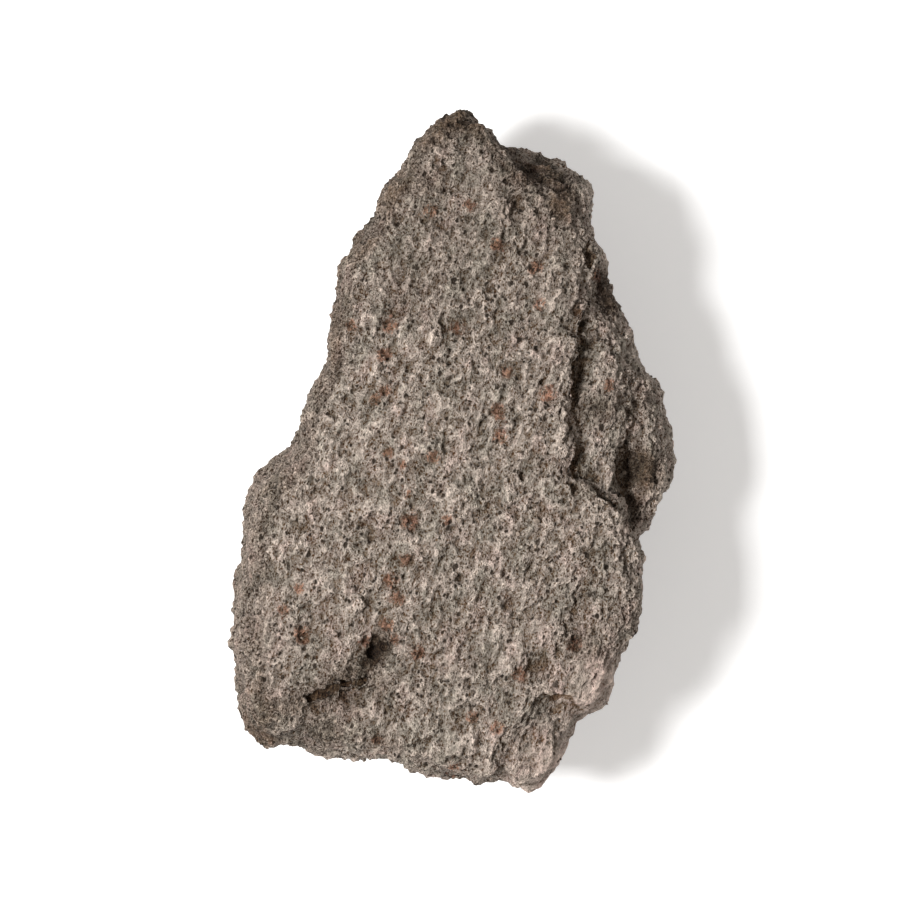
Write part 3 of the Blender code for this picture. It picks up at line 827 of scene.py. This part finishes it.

# %% [markdown]
# ## The stone's colour
# The tone becomes a colour by raising it to three powers, one for red, green and blue. Dark
# parts turn warm brown in that way, as dusty hollows do, and bright ones stay grey. The base
# colour drifts between beige, pink and a greenish grey. Weathering with painted shade, rust
# spots and painted shade inside the pores come on top, each with its own mask.

# %% Colour of the stone
BEIGE = (0.312, 0.262, 0.224)
PINKISH = (0.333, 0.265, 0.229)
GREY_GREEN = (0.240, 0.209, 0.175)
DARK_POWERS = (0.72, 1.0, 1.40)  # for red, green and blue, where the tone is below 1
BRIGHT_POWER = 0.55
WEATHER_AND_SHADE_TINT = (0.205, 0.157, 0.112)
FRESH_TINT = (1.02, 0.965, 0.965)
PAINTED_PORE_SHADE = (0.030, 0.019, 0.011)
RUST_TINTS = [  # brown, red and pink, and where on the ramp each lies
    (0.34, (0.32, 0.19, 0.12)), (0.52, (0.70, 0.41, 0.28)), (0.72, (0.90, 0.60, 0.50)),
]
print("stone colours:", BEIGE, PINKISH, GREY_GREEN)


def warm_darks(tree, tone):
    lower = math_node(tree, "MINIMUM", tone, 1.0)
    upper = math_node(tree, "POWER", math_node(tree, "MAXIMUM", tone, 1.0), BRIGHT_POWER)
    powers = [math_node(tree, "MULTIPLY", math_node(tree, "POWER", lower, power), upper)
              for power in DARK_POWERS]
    return add_node(tree, "ShaderNodeCombineXYZ", dict(enumerate(powers))).outputs[0]


def rusted(tree, seen, colour):
    """Rust spots are torn at their edges, and brown, red or pink inside."""
    kind = math_node(tree, "ADD", total(tree, (seen["spots"], 0.5), (seen["flecks"], 1.0)), 0.5)
    ramp = add_node(tree, "ShaderNodeValToRGB", {0: kind})
    ramp.color_ramp.elements.new(0.5)
    for element, (stop, tint) in zip(ramp.color_ramp.elements, RUST_TINTS):
        element.position, element.color = stop, (*tint, 1.0)
    uneven = math_node(tree, "ADD", total(tree, (seen["flecks"], 3.0), (seen["grit"], 4.0)), 1.0)
    rust = math_node(tree, "MULTIPLY", attribute(tree, "rust"), uneven)
    return multiplied(tree, ramp_between(tree, rust, 0.2, 0.8, 0.0, 0.9), colour, ramp.outputs[0])


def stone_colour(tree, seen, tone, fine, rough):
    colour = mix_colour(tree, ramp_between(tree, seen["hue"], -0.02, 0.13), BEIGE, GREY_GREEN)
    colour = mix_colour(tree, ramp_between(tree, seen["hue"], -0.04, -0.16), colour, PINKISH)
    colour = mix_colour(tree, 1.0, colour, warm_darks(tree, tone), "MULTIPLY")
    # Pale walls take a little less of the weathering and painted shade.
    patchy = math_node(tree, "MULTIPLY_ADD", math_node(tree, "SUBTRACT", fine, 0.75), -0.25, 1.0)
    weather_and_shade = total(tree, (attribute(tree, "weather_and_shade"), patchy), (seen["spots"], 0.5))
    # Weathering and painted shade pull the colour towards a dark brown.
    colour = multiplied(tree, ramp_between(tree, weather_and_shade, 0.0, 1.6), colour, WEATHER_AND_SHADE_TINT)
    colour = multiplied(tree, attribute(tree, "fresh"), colour, FRESH_TINT)
    colour = rusted(tree, seen, colour)
    # Open pores are painted nearly black inside: painted shade.
    holes = math_node(tree, "MAXIMUM", seen["small_holes"], seen["large_holes"])
    pinholes = math_node(tree, "MULTIPLY", seen["pinholes"], 0.85)
    holes = math_node(tree, "MAXIMUM", holes, pinholes)
    holes = math_node(tree, "MULTIPLY", math_node(tree, "MULTIPLY", holes, rough), 0.96)
    return mix_colour(tree, holes, colour, PAINTED_PORE_SHADE)


# %% [markdown]
# ## Dressing the surface
# The stone is dull everywhere, so one high roughness does for all of it. The same patterns that
# colour it also tilt its normals a little, which gives a thin wall a lit side and a dark side.

# %% The stone's material
FINE_HEIGHTS = {"walls": 0.14, "bubble_walls": 0.10, "threads": 0.14, "grit": 0.40, "flecks": 0.36,
                "small_holes": -0.25, "large_holes": -0.3, "small_rims": 0.03}  # mm


def dress_stone(material):
    tree, shader = dull_shader(material, 0.93)
    seen = stone_patterns(tree)
    tone, fine, rough = stone_tone(tree, seen)
    tree.links.new(stone_colour(tree, seen, tone, fine, rough), shader.inputs["Base Color"])
    height = math_node(tree, "MULTIPLY", weighted(tree, seen, FINE_HEIGHTS), rough)
    bumped(tree, shader, height)
    print(material.name, len(tree.nodes), "nodes")


dress_stone(stone_material)

# %% [markdown]
# ## Grains
# Small crystals and crumbs sit in the froth: rusty ones, which stain the stone round them, pale
# ones, and a few dark ones. Geometry Nodes scatter them. Points are spread on the surface, not
# too near to each other, each gets a coarse ball of 20 faces, turned and sized at random, and
# noise pulls every ball into a different angular grain. An attribute says where a kind of grain
# is found, and a fixed seed puts the grains in the same places every time.

# %% Grain tree
GRAIN_FACES = 20
FULL_TURN = 6.28
NARROWEST, WIDEST = 0.6, 1.1  # of the grain's own size
TORN_SCALE, TORN_DEPTH = 1600.0, 0.9 * MM
GRAIN_INPUTS = (
    ("Where", "String", "rust"), ("Apart", "Float", 0.001), ("Density", "Float", 1000.0),
    ("Smallest", "Float", 0.0002), ("Largest", "Float", 0.0006), ("Seed", "Int", 1),
    ("Material", "Material", None),
)


def random_vector(tree, low, high, seed):
    return add_node(tree, "FunctionNodeRandomValue", {0: (low,) * 3, 1: (high,) * 3, "Seed": seed},
                    data_type="FLOAT_VECTOR").outputs[0]


def random_size(tree, given):
    """Mostly small, and large now and then."""
    share = add_node(tree, "FunctionNodeRandomValue", {2: 0.0, 3: 1.0, "Seed": given["Seed"]},
                     data_type="FLOAT").outputs[1]
    return add_node(tree, "ShaderNodeMapRange",
                    {"Value": math_node(tree, "POWER", share, 2.0), "To Min": given["Smallest"],
                     "To Max": given["Largest"]}).outputs[0]


def grain_tree():
    tree = bpy.data.node_groups.new("scattered_grains", "GeometryNodeTree")
    tree_socket(tree, "Geometry", "Geometry")
    for name, kind, default in GRAIN_INPUTS:
        tree_socket(tree, name, kind, default)
    tree_socket(tree, "Geometry", "Geometry", out=True)
    given = tree.nodes.new("NodeGroupInput").outputs
    seed = given["Seed"]
    points = add_node(tree, "GeometryNodeDistributePointsOnFaces",
                      {"Mesh": given["Geometry"], "Distance Min": given["Apart"],
                       "Density Max": given["Density"],
                       "Density Factor": stored(tree, given["Where"]), "Seed": seed},
                      distribute_method="POISSON").outputs["Points"]
    ball = add_node(tree, "GeometryNodeMeshIcoSphere",
                    {"Radius": 1.0, "Subdivisions": 1}).outputs["Mesh"]
    squash = random_vector(tree, NARROWEST, WIDEST, seed)
    grains = add_node(tree, "GeometryNodeInstanceOnPoints",
                      {"Points": points, "Instance": ball,
                       "Rotation": random_vector(tree, 0.0, FULL_TURN, seed),
                       "Scale": scaled(tree, squash, random_size(tree, given))}).outputs[0]
    # Instances share one mesh, so they are made real before noise tears each one differently.
    whole = add_node(tree, "GeometryNodeRealizeInstances", {0: grains}).outputs[0]
    place = add_node(tree, "GeometryNodeInputPosition").outputs[0]
    bumps = add_node(tree, "ShaderNodeTexNoise",
                     {"Vector": place, "Scale": TORN_SCALE, "Detail": 1.0})
    centred = vector_math(tree, "SUBTRACT", bumps.outputs["Color"], (0.5, 0.5, 0.5))
    torn = add_node(tree, "GeometryNodeSetPosition",
                    {"Geometry": whole, "Offset": scaled(tree, centred, TORN_DEPTH)}).outputs[0]
    finished(tree, torn, given["Material"])
    return tree


# %% Scatter the grains
def scatter(name, tree, values):
    host = with_nodes(placed(name + "_host", surface.copy()), tree, values)
    piece = placed(name, frozen(host))
    faces = len(piece.data.polygons)
    print(name, faces // GRAIN_FACES, "grains,", faces, "faces")
    return piece


def grain_material(name, pale, dark):
    material = bpy.data.materials.new(name)
    tree, shader = dull_shader(material, 0.85)
    flow = flow_space(tree, add_node(tree, "ShaderNodeTexCoord").outputs["Object"])
    walls = use_group(tree, WALLS, Place=flow, Size=0.34, Width=0.16)["Walls"]
    patch = noise_value(tree, flow, 0.6)
    share = math_node(tree, "ADD", total(tree, (walls, 0.45), (patch, 2.0)), 0.3, clamp=True)
    tree.links.new(mix_colour(tree, share, dark, pale), shader.inputs["Base Color"])
    bumped(tree, shader, total(tree, (walls, 0.08), (patch, 0.2)))
    return material


rusty = grain_material("rusty_grain", (0.24, 0.14, 0.10), (0.06, 0.03, 0.018))
pale = grain_material("pale_grain", (0.40, 0.325, 0.27), (0.22, 0.175, 0.135))
dark = grain_material("dark_grain", (0.10, 0.07, 0.05), (0.03, 0.02, 0.014))
grain_nodes = grain_tree()
grain_pieces = [  # lengths in metres, density in points per square metre
    scatter("rust_grains", grain_nodes,
            {"Where": "rust", "Apart": 0.0008, "Density": 500000.0, "Smallest": 0.00014,
             "Largest": 0.00042, "Seed": 3, "Material": rusty}),
    scatter("pale_grains", grain_nodes,
            {"Where": "spread", "Apart": 0.0016, "Density": 50000.0, "Smallest": 0.00016,
             "Largest": 0.0005, "Seed": 5, "Material": pale}),
    scatter("dark_grains", grain_nodes,
            {"Where": "spread", "Apart": 0.002, "Density": 30000.0, "Smallest": 0.00014,
             "Largest": 0.0004, "Seed": 8, "Material": dark}),
]

# %% [markdown]
# ## Camera and lamp
# A hand specimen is pictured from straight above, through a long lens, so that its outline is
# true. One lamp stands high on the left, and is small enough to pick out every crumb.


# %% Camera and lamp
def aim(thing, target):
    direction = Vector(target) - thing.location
    thing.rotation_euler = direction.to_track_quat("-Z", "Y").to_euler()


def area_light(name, azimuth, elevation, distance, size, power):
    """A square lamp, placed by the direction and the distance that its light comes from."""
    made = placed(name, bpy.data.lights.new(name, "AREA"))
    made.data.size, made.data.energy = size, power
    az, el = math.radians(azimuth), math.radians(elevation)
    towards = Vector((math.cos(az) * math.cos(el), math.sin(az) * math.cos(el), math.sin(el)))
    made.location = towards * distance
    aim(made, (0, 0, 0.02))
    return made


camera = placed("camera", bpy.data.cameras.new("camera"))
camera.data.lens = 150
camera.data.sensor_width = 36
camera.location = (-0.0004, -0.00016, 0.6247)  # over the middle of the broad face
bpy.context.scene.camera = camera
area_light("key", azimuth=182, elevation=59, distance=0.75, size=0.16, power=7.2)
print("camera", round(camera.location.z / MM), "mm above the floor")

# %% [markdown]
# ## Sky and floor
# A dim warm sky fills the shadows. The floor is plain pale paper on a light table: it glows a
# little, which keeps the cast shadow pale.

# %% Sky and floor
world = bpy.data.worlds.new("studio")
bpy.context.scene.world = world
world.use_nodes = True
sky = world.node_tree.nodes["Background"]
sky.inputs["Color"].default_value = (1.0, 0.95, 0.90, 1)
sky.inputs["Strength"].default_value = 0.38
bpy.context.scene.view_settings.view_transform = "Standard"

FLOOR_HALF = 2.0  # m
corners = [(x * FLOOR_HALF, y * FLOOR_HALF, 0) for x, y in ((-1, -1), (1, -1), (1, 1), (-1, 1))]
floor_mesh = bpy.data.meshes.new("floor")
floor_mesh.from_pydata(corners, [], [(0, 1, 2, 3)])
floor = placed("floor", floor_mesh)
paper = bpy.data.materials.new("pale_paper")
paper.use_nodes = True
paper_shader = paper.node_tree.nodes["Principled BSDF"]
paper_shader.inputs["Base Color"].default_value = (0.85, 0.85, 0.85, 1)
paper_shader.inputs["Roughness"].default_value = 0.9
paper_shader.inputs["Emission Color"].default_value = (1.0, 1.0, 1.0, 1)
paper_shader.inputs["Emission Strength"].default_value = 0.35
floor_mesh.materials.append(paper)
print("floor", 2 * FLOOR_HALF, "m wide")

# %% [markdown]
# ## Riding on the solid
# Each piece takes the place of the stone's plain solid and moves with it, so that the stone can
# be picked up and dropped with its whole surface. The surface may be only a little larger or
# smaller.

# %% Ride on the solid
for piece in [rock, *grain_pieces]:
    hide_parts("perlite_stone")
    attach(piece, "root")
